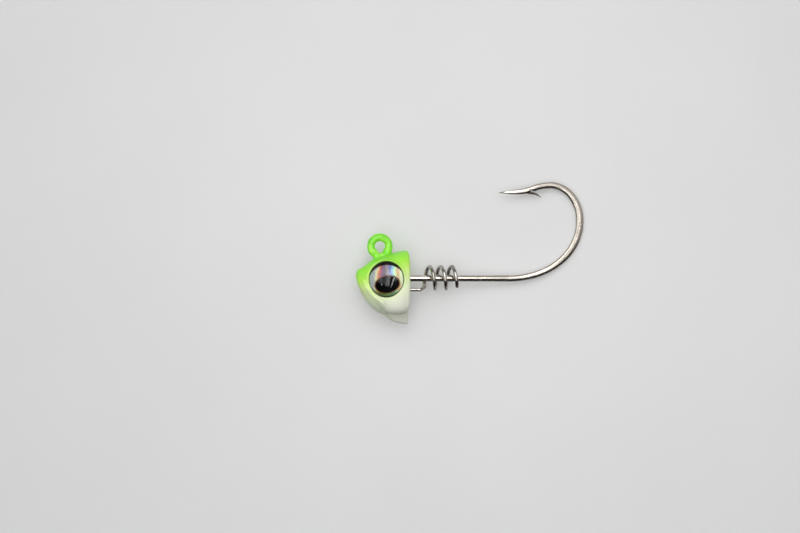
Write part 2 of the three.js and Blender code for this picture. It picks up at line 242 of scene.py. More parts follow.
class Nodes:
    """A node tree whose nodes are added one at a time, each from numbers or earlier sockets."""

    def __init__(self, tree):
        self.tree = tree

    def join(self, source, target):
        self.tree.links.new(source, target)

    def feed(self, socket, value):
        if isinstance(value, bpy.types.NodeSocket):
            self.join(value, socket)
        else:
            socket.default_value = value

    def axes(self, vector):
        made = self.tree.nodes.new("ShaderNodeSeparateXYZ")
        self.join(vector, made.inputs[0])
        return made.outputs[0], made.outputs[1], made.outputs[2]

    def vector(self, operation, a, b=None, scale=None):
        made = self.tree.nodes.new("ShaderNodeVectorMath")
        made.operation = operation
        self.feed(made.inputs[0], a)
        if b is not None:
            self.feed(made.inputs[1], b)
        if scale is not None:
            made.inputs["Scale"].default_value = scale
        return made.outputs["Value" if operation in ("DOT_PRODUCT", "LENGTH", "DISTANCE") else "Vector"]

    def maths(self, operation, a, b=0.0, c=0.0):
        made = self.tree.nodes.new("ShaderNodeMath")
        made.operation = operation
        for socket, value in zip(made.inputs, (a, b, c)):
            self.feed(socket, value)
        return made.outputs[0]

    def noise(self, vector, scale, detail=2.0, roughness=0.5):
        made = self.tree.nodes.new("ShaderNodeTexNoise")
        self.feed(made.inputs["Vector"], vector)
        made.inputs["Scale"].default_value = scale
        made.inputs["Detail"].default_value = detail
        made.inputs["Roughness"].default_value = roughness
        return made.outputs["Fac"]

    def ramp(self, value, stops):
        made = self.tree.nodes.new("ShaderNodeValToRGB")
        elements = made.color_ramp.elements
        elements[0].position, elements[1].position = stops[0][0], stops[-1][0]
        for position, _ in stops[1:-1]:
            elements.new(position)
        for element, (_, colour) in zip(sorted(elements, key=lambda e: e.position), stops):
            element.color = linear(colour)
        self.feed(made.inputs[0], value)
        return made.outputs[0]

    def mix(self, share, a, b):
        made = self.tree.nodes.new("ShaderNodeMix")
        made.data_type = "RGBA"
        self.feed(made.inputs[0], share)
        for socket, value in zip((made.inputs[6], made.inputs[7]), (a, b)):
            self.feed(socket, linear(value) if isinstance(value, str) else value)
        return made.outputs[2]

    def span(self, value, low, high, to_low=0.0, to_high=1.0, smooth=False):
        made = self.tree.nodes.new("ShaderNodeMapRange")
        made.interpolation_type = "SMOOTHSTEP" if smooth else "LINEAR"
        for socket, number in zip(made.inputs, (value, low, high, to_low, to_high)):
            self.feed(socket, number)
        return made.outputs[0]

    def between(self, value, low, high, soft):
        """One between low and high, nought outside, with soft edges."""
        rise = self.span(value, low - soft, low + soft, smooth=True)
        fall = self.span(value, high - soft, high + soft, 1.0, 0.0, smooth=True)
        return self.maths("MULTIPLY", rise, fall)


class Finish(Nodes):
    """A material with one Principled shader, and object coordinates in millimetres."""

    def __init__(self, name, settings):
        self.material = bpy.data.materials.new(name)
        self.material.use_nodes = True
        super().__init__(self.material.node_tree)
        self.tree.nodes.clear()
        output = self.tree.nodes.new("ShaderNodeOutputMaterial")
        self.shader = self.tree.nodes.new("ShaderNodeBsdfPrincipled")
        self.join(self.shader.outputs[0], output.inputs["Surface"])
        for socket, value in settings.items():
            self.shader.inputs[socket].default_value = value
        coordinates = self.tree.nodes.new("ShaderNodeTexCoord")
        self.uv = coordinates.outputs["UV"]
        self.normal = coordinates.outputs["Normal"]
        self.mm = self.vector("SCALE", coordinates.outputs["Object"], scale=1000)

    def attribute(self, name):
        made = self.tree.nodes.new("ShaderNodeAttribute")
        made.attribute_name = name
        return made.outputs["Fac"]

    def bump(self, height, strength, distance):
        made = self.tree.nodes.new("ShaderNodeBump")
        made.inputs["Strength"].default_value = strength
        made.inputs["Distance"].default_value = distance
        self.join(height, made.inputs["Height"])
        self.join(made.outputs[0], self.shader.inputs["Normal"])

    def colour(self, value):
        self.feed(self.shader.inputs["Base Color"], value)

    def roughness(self, value):
        self.feed(self.shader.inputs["Roughness"], value)


def head_paint():
    """Powder paint, sprayed green over the back and the nose and fading to white underneath.

    The lowest part of the fade and the jaw under the lip carry painted shade. The eye's lip and the
    mouth's ridge are lighter, partly as thinner paint and partly as a painted highlight.
    """
    box = Finish("head_paint", {
        "Coat Weight": 0.22, "Coat Roughness": 0.1, "IOR": 1.5, "Specular IOR Level": 0.35,
    })
    x, y, _ = box.axes(box.mm)
    cloud = box.noise(box.mm, 0.35, detail=3)
    height = box.maths("MULTIPLY_ADD", x, -0.41, y)
    height = box.maths("MULTIPLY_ADD", box.maths("SUBTRACT", cloud, 0.5), 1.6, height)
    # the lowest stops turn grey, as painted shade under the head and on the keel
    colour = box.ramp(box.span(height, -9.5, 9.0), [
        (0.04, "c0c2b7"), (0.17, "cccec0"), (0.27, "d3d6c6"), (0.37, "dde4c8"), (0.44, "e4efc8"),
        (0.5, "e2f2b8"), (0.56, "daf19e"), (0.615, "cfee88"), (0.66, "c0e970"), (0.71, "b0e64c"),
        (0.76, "a2e63a"), (0.81, "96e636"), (0.89, "82e026"), (1.0, "66d60e"),
    ])
    # painted shade: the jaw below the lip's line is mixed towards a greyer green
    under_lip = box.maths("MULTIPLY_ADD", x, -0.768, box.maths("MULTIPLY_ADD", y, -0.64, -8.17))
    jaw = box.maths("MULTIPLY", box.span(under_lip, -0.1, 0.7), box.span(y, -0.8, -3.0))
    colour = box.mix(box.maths("MULTIPLY", jaw, 0.55), colour, "a8b894")
    # lighter along the eye's lip and the mouth's ridge, partly thinner paint and partly a painted highlight
    colour = box.mix(box.maths("MULTIPLY", box.attribute("thin_paint_and_highlight"), 0.55), colour, "e4f79a")
    grain = box.noise(box.mm, 9.0, detail=3)
    colour = box.mix(box.span(grain, 0.35, 0.75, 0.0, 0.1), colour, "eef6cf")
    box.colour(colour)
    box.roughness(box.span(box.noise(box.mm, 3.0, detail=4), 0.3, 0.7, 0.3, 0.44))
    peel = box.maths("ADD", box.noise(box.mm, 2.4, detail=2), box.maths("MULTIPLY", grain, 0.35))
    box.bump(peel, 0.35, 0.00006)
    return box.material


def ring_paint():
    """The same paint where it was dipped thicker on the line eye."""
    box = Finish("ring_paint", {
        "Coat Weight": 0.35, "Coat Roughness": 0.1, "IOR": 1.5, "Specular IOR Level": 0.4,
    })
    cloud = box.noise(box.mm, 0.6, detail=3)
    grain = box.noise(box.mm, 8.0, detail=2)
    colour = box.ramp(cloud, [(0.3, "62d016"), (0.5, "80e02a"), (0.7, "aaf050")])
    box.colour(box.mix(box.span(grain, 0.4, 0.8, 0.0, 0.15), colour, "b8f57a"))
    box.roughness(box.span(box.noise(box.mm, 3.0, detail=4), 0.3, 0.7, 0.28, 0.42))
    box.bump(box.noise(box.mm, 2.0, detail=3), 0.4, 0.00008)
    return box.material


# places and ways that the marks on the hook's metal follow: its stains, its painted dark reflections and
# the painted shadow behind the barb
BEND_CENTRE = (30.0, 12.9, 0.0)
BARB_ROOT = (27.5, 19.25, 0.3)
POINT_TIP = (20.1, 19.1, 0.0)
BELLY_WAY = (-0.3, -0.954, 0.0)
DARK_REFLECTION_BAND = (0.62, 0.97, 0.07)
SCRATCHES = (60, 25, 1)


def wire_metal(name, dark, light, low, high, streak, dark_reflection, forged=0.0):
    """Drawn wire: fine scratches along it, small pits, a faint stain, and a patchy painted dark reflection.

    The painted dark reflection runs along the belly side and the inside of the bend. Where the wire was
    forged flat it is darker and matt, the cut behind the barb is painted black as its shadow, and the
    colour darkens towards the point.
    """
    box = Finish(name, {"Metallic": 1.0})
    stretched = box.vector("MULTIPLY", box.uv, SCRATCHES)
    drawn = box.noise(stretched, 1.0, detail=4, roughness=0.65)
    stain = box.noise(box.mm, 0.5, detail=4)
    pits = box.span(box.noise(box.mm, 2.6, detail=1), 0.66, 0.73)
    colour = box.ramp(box.maths("MULTIPLY_ADD", drawn, 0.5, box.maths("MULTIPLY", stain, 0.5)),
                      [(0.35, dark), (0.62, light)])
    colour = box.mix(box.maths("MULTIPLY", pits, 0.55), colour, "4a4038")
    rough = box.span(drawn, 0.3, 0.7, low, high)
    x, y, _ = box.axes(box.mm)
    # painted dark reflection: the belly side and the inside of the bend are darkened, in patches
    belly = box.between(box.vector("DOT_PRODUCT", box.normal, BELLY_WAY), *DARK_REFLECTION_BAND)
    inward = box.vector("NORMALIZE", box.vector("SUBTRACT", BEND_CENTRE, box.mm))
    inside = box.between(box.vector("DOT_PRODUCT", box.normal, inward), *DARK_REFLECTION_BAND)
    inside = box.maths("MULTIPLY", inside, box.span(y, 11.0, 17.0, smooth=True))
    painted_dark_reflection = box.maths("MAXIMUM", belly, inside)
    patchy = box.span(box.noise(box.mm, 0.9, detail=3), 0.3, 0.6, 0.65, 1.0)
    painted_dark_reflection = box.maths("MULTIPLY", painted_dark_reflection, box.maths("MULTIPLY", patchy, dark_reflection))
    colour = box.mix(painted_dark_reflection, colour, "1c1510")
    if forged:
        _, _, facing = box.axes(box.normal)
        flat = box.span(box.maths("ABSOLUTE", facing), 0.86, 0.97, smooth=True)
        past_shank = box.span(box.maths("MULTIPLY_ADD", y, 0.5, x), 28.0, 38.0, smooth=True)
        flat = box.maths("MULTIPLY", flat, past_shank)
        mottle = box.span(box.noise(box.mm, 2.2, detail=3), 0.35, 0.65, 0.75, 1.0)
        # the flats are darker low on the bend and lighter towards the point
        flat_tone = box.ramp(box.span(y, 2.0, 16.0), [(0.0, "7b746b"), (1.0, "a8a097")])
        colour = box.mix(box.maths("MULTIPLY", flat, mottle), colour, flat_tone)
        # painted shadow: black in the cut behind the barb
        cut = box.span(box.vector("DISTANCE", box.mm, BARB_ROOT), 0.4, 0.9, 0.85, 0.0)
        colour = box.mix(cut, colour, "15100c")
        tip = box.span(box.vector("DISTANCE", box.mm, POINT_TIP), 0.7, 2.1, 0.8, 0.0)
        colour = box.mix(tip, colour, "332d27")
        rough = box.maths("MULTIPLY_ADD", flat, forged, rough)
    box.colour(colour)
    box.roughness(box.maths("MULTIPLY_ADD", pits, 0.3, rough))
    box.bump(box.maths("SUBTRACT", drawn, pits), streak, 0.00002)
    return box.material


FOIL_TOP = 0.12
PUPIL_CENTRE = (0.2, -1.05)
PUPIL_HALF_SIZE = (2.4, 1.6)
PUPIL_TIP = math.radians(11)
CRESCENT_CENTRE = (0.2, -1.5, FOIL_TOP)


def hologram():
    """Mirror film with upright rainbow bands and a printed pupil with a brown rim.

    A black crescent at the top is a painted dark reflection, and the darker bottom and edge are painted
    shade and reflection.
    """
    box = Finish("hologram_film", {"Specular IOR Level": 0.04})
    x, y, _ = box.axes(box.mm)
    wave = box.noise(box.mm, 0.55, detail=2)
    fan = box.maths("MULTIPLY", x, box.maths("MULTIPLY_ADD", y, 0.05, 0.95))
    across = box.maths("MULTIPLY_ADD", box.maths("SUBTRACT", wave, 0.5), 0.9, fan)
    bands = box.ramp(box.span(across, -4, 4), [
        (0.0, "b0c4ae"), (0.1, "b0c2b4"), (0.16, "b2bcc6"), (0.21, "dadfc8"), (0.245, "ffffd0"),
        (0.28, "ffdc9c"), (0.315, "f48e72"), (0.355, "bc5c6c"), (0.395, "8a5c86"), (0.435, "80748c"),
        (0.49, "988c86"), (0.535, "a09aa4"), (0.575, "8484bc"), (0.615, "6478c4"), (0.655, "96ccea"),
        (0.705, "a4e0b4"), (0.745, "d6ecaa"), (0.79, "d8b084"), (0.83, "d2b486"), (0.87, "e4f0c0"),
        (1.0, "b4c8a4"),
    ])
    ruled = box.noise(box.vector("MULTIPLY", box.mm, (14, 1.2, 1)), 1.0, detail=3)
    film = box.mix(box.span(ruled, 0.35, 0.7, 0.0, 0.15), bands, "ffffff")
    # painted shade and reflection: the bottom of the disc goes dark green
    film = box.mix(box.span(y, -1.9, -2.9, 0.0, 0.9), film, "5f8440")
    # pupil: an ellipse low on the disc, tipped up towards the tail
    px = box.maths("ADD", x, -PUPIL_CENTRE[0])
    py = box.maths("ADD", y, -PUPIL_CENTRE[1])
    cosine, sine = math.cos(PUPIL_TIP), math.sin(PUPIL_TIP)
    along = box.maths("MULTIPLY_ADD", px, cosine, box.maths("MULTIPLY", py, sine))
    up = box.maths("MULTIPLY_ADD", py, cosine, box.maths("MULTIPLY", px, -sine))
    wide = box.maths("POWER", box.maths("DIVIDE", along, PUPIL_HALF_SIZE[0]), 2.0)
    high = box.maths("POWER", box.maths("DIVIDE", up, PUPIL_HALF_SIZE[1]), 2.0)
    radius = box.maths("SQRT", box.maths("ADD", wide, high))
    roughly = box.maths("SUBTRACT", box.noise(box.mm, 2.5, detail=3), 0.5)
    ragged = box.maths("MULTIPLY_ADD", roughly, 0.12, radius)
    iris = box.ramp(box.span(ragged, 0.8, 1.3), [
        (0.0, "030303"), (0.34, "0a0502"), (0.42, "3a1c0a"), (0.52, "663a14"), (0.72, "92602c"),
        (1.0, "c09a62"),
    ])
    shown = box.span(ragged, 1.08, 1.22)
    colour = box.mix(shown, iris, film)
    # painted dark reflection: a black crescent over all of the disc above a larger circle set low
    reach = box.vector("DISTANCE", box.mm, CRESCENT_CENTRE)
    dark_crescent = box.maths("MULTIPLY", box.span(reach, 4.38, 4.55), box.span(y, 0.4, 0.8))
    crescent_black = box.ramp(box.noise(box.mm, 1.1, detail=3), [(0.35, "080204"), (0.65, "2a1208")])
    colour = box.mix(dark_crescent, colour, crescent_black)
    # painted shade of the socket's wall: the disc's edge is darker, most of all at the lower right
    rim = box.span(box.vector("DISTANCE", box.mm, (0, 0, FOIL_TOP)), 3.48, 3.74)
    low_right = box.span(box.maths("MULTIPLY_ADD", y, -0.5, x), -2.8, -0.8, 0.25, 0.95)
    colour = box.mix(box.maths("MULTIPLY", rim, low_right), colour, "22340f")
    box.colour(colour)
    mirror = box.maths("MULTIPLY", shown, box.maths("SUBTRACT", 1.0, dark_crescent))
    box.feed(box.shader.inputs["Metallic"], box.maths("MULTIPLY", mirror, 0.4))
    box.roughness(box.span(ruled, 0.3, 0.7, 0.22, 0.38))
    return box.material


def epoxy():
    """Clear cast epoxy, bright and smooth, with the faint waviness of a poured surface."""
    box = Finish("clear_epoxy", {
        "Base Color": (1, 1, 1, 1), "Roughness": 0.015, "IOR": 1.5, "Transmission Weight": 1.0,
    })
    box.bump(box.noise(box.mm, 0.5, detail=1), 0.12, 0.00005)
    return box.material


def adhesive():
    """A pale foam pad, hardly seen at the edge of the socket."""
    box = Finish("adhesive", {"Roughness": 0.8})
    box.colour(box.ramp(box.noise(box.mm, 5.0, detail=3), [(0.3, "cfcdc4"), (0.7, "e9e7df")]))
    box.bump(box.noise(box.mm, 8.0, detail=2), 0.3, 0.00004)
    return box.material


HEAD_PAINT = head_paint()
RING_PAINT = ring_paint()
HOOK_METAL = wire_metal("hook_wire", "bfb7ab", "e2dbd0", 0.1, 0.17, 0.12, 0.9, forged=0.1)
# painted shade: the barb is the hook's own steel, coloured darker where it lies under the wire
BARB_METAL_SHADED = wire_metal("barb_steel_shaded", "6e675e", "aaa196", 0.12, 0.2, 0.12, 0.9)
SPRING_METAL = wire_metal("spring_wire", "746e6b", "d6d0c9", 0.08, 0.16, 0.2, 0.9)
HOLOGRAM = hologram()
EPOXY = epoxy()
ADHESIVE = adhesive()

# ---- Hook -----------------------------------------------------------------------------------------

WIRE_RADIUS = 0.69
RING_RADIUS = 2.0
RING_START = -34
RING_END = 218
TUCKED_END = 0.75
KNEE_RADIUS = 2.2
SHANK_LENGTH = 22.5
BEND_HEIGHT = 13.0
LOWER_BEND = (16.3, 13.06)
UPPER_BEND = (6.9, 7.88)
BEND_TOP = (SHANK_LENGTH + LOWER_BEND[0] - UPPER_BEND[0], BEND_HEIGHT + UPPER_BEND[1])
POINT_LINE = [
    BEND_TOP, (29.9, 20.62), (28.3, 20.15), (26.7, 19.62), (24.8, 19.34), (22.5, 19.2), POINT_TIP[:2],
]
POINT_LENGTH = 8.2
# half the wire's depth in the side view, at distances from the point
HALF_DEPTHS = [
    (0, 0.02), (1.5, 0.28), (3.5, 0.5), (5, 0.59), (6.5, 0.7), (9, 0.71), (12, 0.73), (17, 0.8),
    (22, 0.89), (28, 0.9), (36, 0.8), (43, 0.73), (50, 0.72),
]
FORGED_UNTIL = (41, 55)
FORGED_THINNING = 0.12
BARB_LINE = [(26.6, 19.3), (27.6, 19.12), (28.8, 18.78), (30.05, 18.05)]
BARB_HALF_DEPTH = 0.38
BARB_HALF_THICKNESS = 0.42
BARB_LEVEL = -0.05
SHARP = 0.012


def ring_point(angle):
    """A point on the middle of the line eye's wire, at an angle in degrees."""
    turn = math.radians(angle)
    return np.array(LINE_EYE) + RING_RADIUS * np.array([math.cos(turn), math.sin(turn)])


def ring_heading(angle):
    """The way that the wire runs at that angle, as a unit vector."""
    turn = math.radians(angle)
    return np.array([-math.sin(turn), math.cos(turn)])


LEG_TOP = ring_point(RING_END)
LEG_WAY = ring_heading(RING_END)
TUCK = ring_point(RING_START) - TUCKED_END * ring_heading(RING_START)
KNEE_X = LEG_TOP[0] - LEG_TOP[1] * LEG_WAY[0] / LEG_WAY[1]


def hook_line():
    """The middle of the hook's wire, from the tucked end round the ring and the bend to the point."""
    slope = math.degrees(math.atan2(-LEG_WAY[1], LEG_WAY[0]))
    reach = KNEE_RADIUS * math.tan(math.radians(slope) / 2)
    line = np.vstack([
        TUCK,
        arc(*LINE_EYE, RING_RADIUS, RING_RADIUS, RING_START, RING_END),
        arc(KNEE_X + reach, KNEE_RADIUS, KNEE_RADIUS, KNEE_RADIUS, -90 - slope, -90, 30),
        arc(SHANK_LENGTH, BEND_HEIGHT, *LOWER_BEND, -90, 0, 400, fullness=2.1),
        arc(BEND_TOP[0], BEND_HEIGHT, *UPPER_BEND, 0, 90, 200),
        spline(POINT_LINE, 200),
    ])
    return np.c_[line, np.zeros(len(line))]


def build_hook():
    """One wire, forged thinner and deeper round the bend, with a notch where the barb was cut."""
    spacing = 0.1
    points = resample(hook_line(), spacing)
    to_point = spacing * np.arange(len(points))[::-1]
    forged = 1 - smoothstep(to_point, *FORGED_UNTIL)
    depth = np.interp(to_point, *zip(*HALF_DEPTHS))
    taper = np.minimum(1, to_point / POINT_LENGTH) ** 0.7
    thickness = np.maximum(0.02, taper * (WIRE_RADIUS - forged * FORGED_THINNING))
    notch = smoothstep(to_point, 7.05, 7.25) * (1 - smoothstep(to_point, 7.5, 8.2))
    inner = 1 - 0.7 * notch
    squareness = 2 + 0.3 * forged
    points, faces, uv = sweep(points, depth, thickness, 32, inner=inner, squareness=squareness)
    hook = place("hook_wire", points, faces, HOOK_METAL, uv=uv)
    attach(hook, "root")
    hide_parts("hook")


def build_barb():
    """The sliver that was cut from the inside of the wire and bent down."""
    middle = spline(BARB_LINE, 60)
    line = resample(np.c_[middle, np.full(len(middle), BARB_LEVEL)], 0.05)
    share = np.linspace(0, 1, len(line))
    depth = np.maximum(SHARP, BARB_HALF_DEPTH * (1 - share) ** 0.65)
    thickness = np.maximum(SHARP, BARB_HALF_THICKNESS * (1 - share) ** 0.5)
    points, faces, uv = sweep(line, depth, thickness, 20)
    barb = place("hook_barb", points, faces, BARB_METAL_SHADED, uv=uv)
    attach(barb, "root")
    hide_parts("hook")


# ---- Screw-lock spring ----------------------------------------------------------------------------

SPRING_RADIUS = 2.48
SPRING_AXIS_HEIGHT = 0.1
SPRING_PITCH = 2.5
SPRING_TURNS = (-0.42, 2.42)
SPRING_FIRST_TOP = 4.74
SPRING_LEG_HEIGHT = -2.55
SPRING_WIRE_RADIUS = 0.4


def build_spring():
    """A straight leg from inside the casting that turns into the coil, and ends free."""
    turns = np.arange(*SPRING_TURNS, 1 / 28)
    angle = 2 * np.pi * turns
    coil = np.c_[
        SPRING_FIRST_TOP + SPRING_PITCH * turns,
        SPRING_AXIS_HEIGHT + SPRING_RADIUS * np.cos(angle),
        SPRING_RADIUS * np.sin(angle),
    ]
    leg = [(x, SPRING_LEG_HEIGHT, 0) for x in (-3.4, -1.2, 0.9, 2.1, 2.75)]
    line = resample(spline(leg + coil.tolist(), 1600), 0.1)
    radius = np.full(len(line), SPRING_WIRE_RADIUS)
    radius[-3:] = (0.39, 0.37, 0.32)
    points, faces, uv = sweep(line, radius, radius, 24)
    spring = place("screw_lock_spring_wire", points, faces, SPRING_METAL, uv=uv)
    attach(spring, "root")
    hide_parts("screw_lock_spring")


# ---- Head casting ---------------------------------------------------------------------------------

CHEEKS = {
    "top": [(-11.7, 1.25), (-11.3, 1.85), (-10.3, 2.4), (-8.3, 3.95), (-6.3, 4.7), (-4.1, 5.4),
            (-1.9, 6.0), (0, 6.2)],
    "side": [(-11.78, 0.85, 0.45), (-11.4, 0.5, 1.0), (-10.4, 0, 1.7), (-8.7, -0.8, 2.75),
             (-6.6, -1.8, 3.9), (-4.4, -3.0, 4.9), (-2.2, -3.7, 5.2), (0, -3.5, 4.8)],
    "bottom": [(-11.7, 0.3), (-11.35, -0.9), (-10.4, -2.7), (-8.9, -4.6), (-6.9, -6.1), (-5.9, -6.9),
               (-5.1, -7.5), (-4.0, -7.75), (-2.6, -7.8), (-1.8, -7.7), (-1.0, -7.4), (-0.5, -7.0),
               (0, -6.3)],
    "powers": (2.9, 5.5),
}
JAW = {
    "top": [(-11.6, 0.9), (-10, 1), (-6.8, 0), (-2.6, -2)],
    "side": [(-11.65, 0, 0.5), (-11.2, -0.8, 1.1), (-10.3, -2, 1.8), (-9.1, -3.2, 2.45),
             (-7.5, -4.4, 2.95), (-5.6, -5.2, 3.1), (-3.0, -5.6, 2.6)],
    "bottom": [(-11.75, -0.1), (-11.2, -1.7), (-10.35, -3.6), (-9.1, -5.55), (-7.6, -7.05),
               (-5.9, -7.9), (-4.6, -7.8), (-3, -7.2), (0, -6.3)],
    "powers": (2.3, 2.3),
}
GILL_PLATE = [
    (-6.6, -7.2), (-5.3, -8.2), (-4.5, -8.9), (-3.6, -9.5), (-2.3, -9.95), (-0.35, -10.2),
    (0.3, -10.2), (0.6, -5), (-6, -4.5),
]
EYE_CENTRE = (-5.2, -0.12, 3.25)
EYE_SLOPE = math.radians(20)
EYE_RADIUS = 3.95
SOCKET_RADIUS = 4.02
SOCKET_FLOOR = -0.38
RIM_RADIUS = 4.42
RIM_HEIGHT = 0.22
LIP_RADIUS = 4.2
LIP_HALF_WIDTH = 0.22
NOSE_X = -11.74
MOUTH = [(-10.3, -0.4), (-9.6, -2.2), (-8.6, -3.5), (-7.5, -4.45), (-6.3, -5.2)]
GROOVE = [(-8.7, -2.9), (-7.7, -3.95), (-6.5, -4.75)]
CREASE = [(-6.1, -5.1), (-5.75, -5.9), (-5.9, -6.8), (-6.3, -7.3)]


def fish_body(x, y, z, step, shape):
    """Superellipse sections between the back, the widest line of the cheek and the underside."""
    top = spline(shape["top"], 200)
    side = spline(shape["side"], 200)
    bottom = spline(shape["bottom"], 200)
    middle = np.interp(x, side[:, 0], side[:, 1])
    width = np.interp(x, side[:, 0], side[:, 2])
    up = np.interp(x, top[:, 0], top[:, 1]) - middle
    down = middle - np.interp(x, bottom[:, 0], bottom[:, 1])
    upper, lower = shape["powers"]
    power = np.where(y > middle, upper, lower)
    rise = np.abs(y - middle) / np.where(y > middle, up, down)
    field = (rise**power + (np.abs(z) / width) ** power) ** (1 / power) - 1
    return to_distance(field, step)


def ridge(distance, width):
    """One along a line, falling away to nought either side of it."""
    return np.exp(-((distance / width) ** 2))


def around_eye(x, y, aside):
    """Along the eye's disc towards the tail, out through its face, and the distance from its axis."""
    past, beyond = x - EYE_CENTRE[0], aside - EYE_CENTRE[2]
    along = past * math.cos(EYE_SLOPE) + beyond * math.sin(EYE_SLOPE)
    out = -past * math.sin(EYE_SLOPE) + beyond * math.cos(EYE_SLOPE)
    return along, out, np.sqrt(along**2 + (y - EYE_CENTRE[1]) ** 2)


def thin_edges_and_highlight(x, y, z):
    """Thin paint and a painted highlight: one along the eye's lip and the mouth's ridge, nought elsewhere.
    """
    aside = np.abs(z)
    along, _, radius = around_eye(x, y, aside)
    lip = ridge(radius - LIP_RADIUS - 0.06, 0.16) * (aside > 1.4)
    # the painted highlight is strongest on the lip's nose side and low side
    lip = lip * np.clip(0.65 - 0.3 * (along + 0.5 * (y - EYE_CENTRE[1])), 0, 1)
    mouth = ridge(polyline(x, y, MOUTH), 0.2) * (aside > 0.6)
    return np.maximum(lip, 0.5 * mouth)


def with_mouth(body, x, y, aside):
    """A raised lip with the jaw falling away under it, and a crease behind the jaw."""
    body = body - 0.14 * ridge(polyline(x, y, MOUTH), 0.28)
    body = body + 0.1 * ridge(polyline(x, y, GROOVE), 0.2) * (aside > 1.2)
    return body + 0.13 * ridge(polyline(x, y, CREASE), 0.35) * (aside > 1.2)


def with_socket(body, x, y, aside):
    """A rim that stands on the cheek, and a flat-bottomed pocket with a rounded lip in it."""
    _, out, radius = around_eye(x, y, aside)
    boss = smooth_max(smooth_max(radius - RIM_RADIUS, out - RIM_HEIGHT, 0.25), -2.4 - out, 0.1)
    body = smooth_min(body, boss, 0.35)
    lip = np.hypot(radius - LIP_RADIUS, out - RIM_HEIGHT - 0.04) - LIP_HALF_WIDTH
    body = smooth_min(body, lip, 0.2)
    return smooth_max(body, -np.maximum(radius - SOCKET_RADIUS, SOCKET_FLOOR - out), 0.06)


def with_back(body, x, y, z):
    """The flat back, the thin gill plate below it, and the seam that the mould's two halves leave."""
    body = smooth_max(body, x + 0.1, 0.8)
    plate = smooth_max(outline(x, y, GILL_PLATE), np.abs(z) - (0.95 + 0.06 * (y + 10)), 0.5)
    body = smooth_min(body, smooth_max(plate, x + 0.2, 0.15), 0.3)
    return body - 0.05 * ridge(z, 0.13) * smoothstep(-x, 0.1, 0.6)


def with_collar(body, x, y, z):
    """Paint that gathers where the two ends of the line eye's wire go in."""
    leg = capsule(x, y, z, (*LEG_TOP, 0), (*(LEG_TOP + 3 * LEG_WAY), 0)) - 0.8
    tuck = capsule(x, y, z, (*TUCK, 0), (*(TUCK + 0.35 * ring_heading(RING_START)), 0)) - 0.76
    return smooth_min(body, smooth_min(leg, tuck, 0.8), 0.6)


def build_head():
    """The cheeks and the jaw as one fish head, with its mouth, eye sockets, flat back and collar."""
    step = 0.085
    low, high = (-12.6, -11.0, -6.4), (0.7, 7.3, 6.4)
    x, y, z = grid(low, high, step)
    aside = np.abs(z)
    body = smooth_min(fish_body(x, y, z, step, CHEEKS), fish_body(x, y, z, step, JAW), 0.22)
    body = smooth_max(body, NOSE_X - x, 0.5)
    body = with_mouth(body, x, y, aside)
    body = with_socket(body, x, y, aside)
    body = with_back(body, x, y, z)
    body = with_collar(body, x, y, z)
    points, faces = skin(body, low, step)
    head = place("head_casting_paint", points, faces, HEAD_PAINT, thin_paint_and_highlight=thin_edges_and_highlight(*points.T))
    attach(head, "root")
    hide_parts("head_casting")


# the coat's middle lies a little nearer the nose than the wire's
COAT_RADIUS = 0.87
COAT_SHIFT = 0.1


def build_ring_coat():
    """The lumpy jacket round the ring, with a web of paint across its foot."""
    step = 0.06
    low, high = (-10.2, 3.2, -1.4), (-2.6, 10.6, 1.4)
    x, y, z = grid(low, high, step)
    ring = arc(*LINE_EYE, RING_RADIUS, RING_RADIUS, RING_START, RING_END, 64)
    coat = np.full(np.broadcast_shapes(x.shape, y.shape, z.shape), 9.0, np.float32)
    for a, b in zip(ring[:-1], ring[1:]):
        coat = np.minimum(coat, capsule(x + COAT_SHIFT, y, z, (*a, 0), (*b, 0)))
    lumps = 0.03 * np.sin(1.9 * x + 0.7) * np.sin(1.6 * y) + 0.015 * np.sin(4.1 * x - 3.3 * y)
    coat = coat - COAT_RADIUS - lumps
    leg = capsule(x, y, z, (*LEG_TOP, 0), (*(LEG_TOP + 1.9 * LEG_WAY), 0)) - 0.82
    tuck = capsule(x, y, z, (*TUCK, 0), (*(TUCK + 0.6 * ring_heading(RING_START)), 0)) - 0.8
    web = capsule(x, y, z, (-7.2, 4.9, 0), (-5.6, 4.95, 0)) - 0.66
    coat = smooth_min(smooth_min(smooth_min(coat, leg, 0.4), tuck, 0.5), web, 0.35)
    points, faces = skin(coat, low, step)
    piece = place("line_eye_paint", points, faces, RING_PAINT)
    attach(piece, "root")
    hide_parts("line_eye_coat")


# ---- Eyes -----------------------------------------------------------------------------------------

PAD_PROFILE = [(3.7, -0.33), (3.72, -0.18), (3.7, -0.03)]
FOIL_PROFILE = [(3.9, 0.0), (3.92, 0.02), (3.92, FOIL_TOP - 0.02), (3.9, FOIL_TOP)]
DOME_BASE = 0.15
DOME_UNDERSIDE = -0.01
DOME_WALL = 0.3
DOME_HEIGHT = 1.8


def dome_profile():
    """The dome from its underside up a short wall and over a round top, and the top's height."""
    bulge = DOME_HEIGHT - DOME_WALL
    sphere = (EYE_RADIUS**2 + bulge**2) / (2 * bulge)
    edge = math.asin(EYE_RADIUS / sphere)
    profile = [(EYE_RADIUS - 0.03, DOME_UNDERSIDE), (EYE_RADIUS, DOME_UNDERSIDE + 0.03)]
    for angle in np.linspace(edge, 0, 28)[:-1]:
        height = DOME_BASE + DOME_HEIGHT - sphere * (1 - math.cos(angle))
        profile.append((sphere * math.sin(angle), height))
    return profile, DOME_BASE + DOME_HEIGHT


